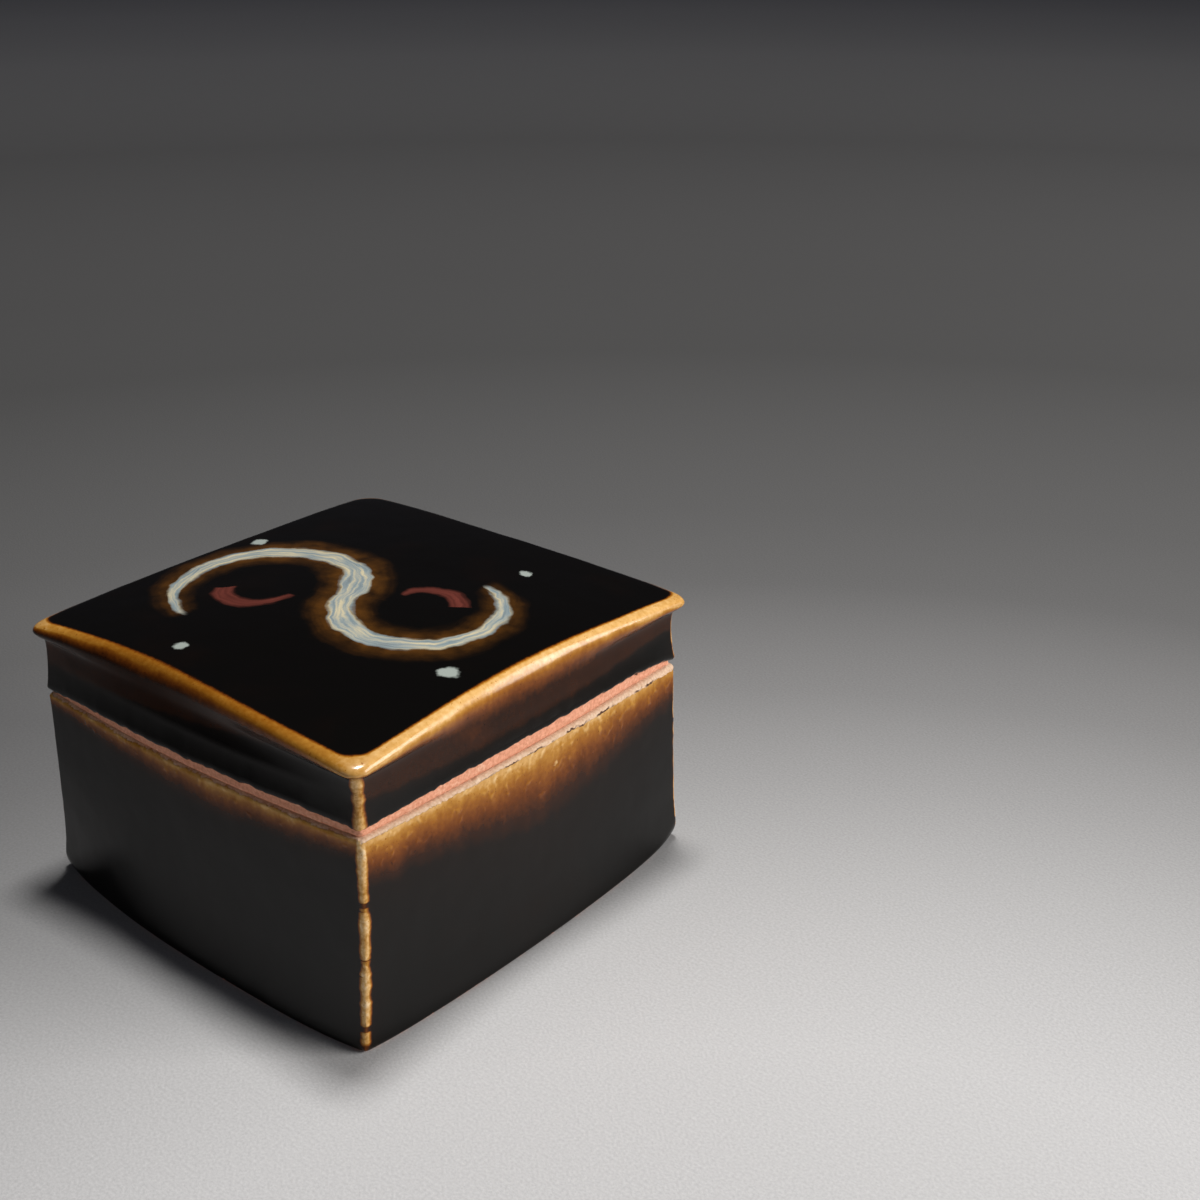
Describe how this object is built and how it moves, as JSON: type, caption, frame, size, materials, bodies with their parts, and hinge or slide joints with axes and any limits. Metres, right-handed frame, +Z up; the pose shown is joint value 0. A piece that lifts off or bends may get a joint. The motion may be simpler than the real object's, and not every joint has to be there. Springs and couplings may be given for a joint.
{
  "type": "lidded ceramic box",
  "caption": "Square slab-built stoneware box in glossy black-brown iron glaze, with a domed lift-off lid located by a bare clay flange inside the rim",
  "frame": {"origin": "under the middle of the box, on the surface it stands on", "axes": "+Z up, the way the lid lifts; -Y is the front wall, +X the right wall"},
  "size_m": [0.1506, 0.1506, 0.095],
  "materials": {
    "iron_glaze": "glossy",
    "bare_clay": "matte"
  },
  "bodies": {
    "box": {"floor_slab": "iron_glaze", "front_wall_slab": "iron_glaze", "right_wall_slab": "iron_glaze", "back_wall_slab": "iron_glaze", "left_wall_slab": "iron_glaze", "front_flange_strip": "bare_clay", "right_flange_strip": "bare_clay", "back_flange_strip": "bare_clay", "left_flange_strip": "bare_clay"},
    "lid": {"lid_front_wall_strip": "iron_glaze", "lid_right_wall_strip": "iron_glaze", "lid_back_wall_strip": "iron_glaze", "lid_left_wall_strip": "iron_glaze", "lid_top_slab": "iron_glaze"}
  },
  "joints": [
    {"name": "lid_lift", "type": "slide", "parent": "box", "child": "lid", "axis": [0, 0, 1], "range_m": [0, 0.08]}
  ]
}
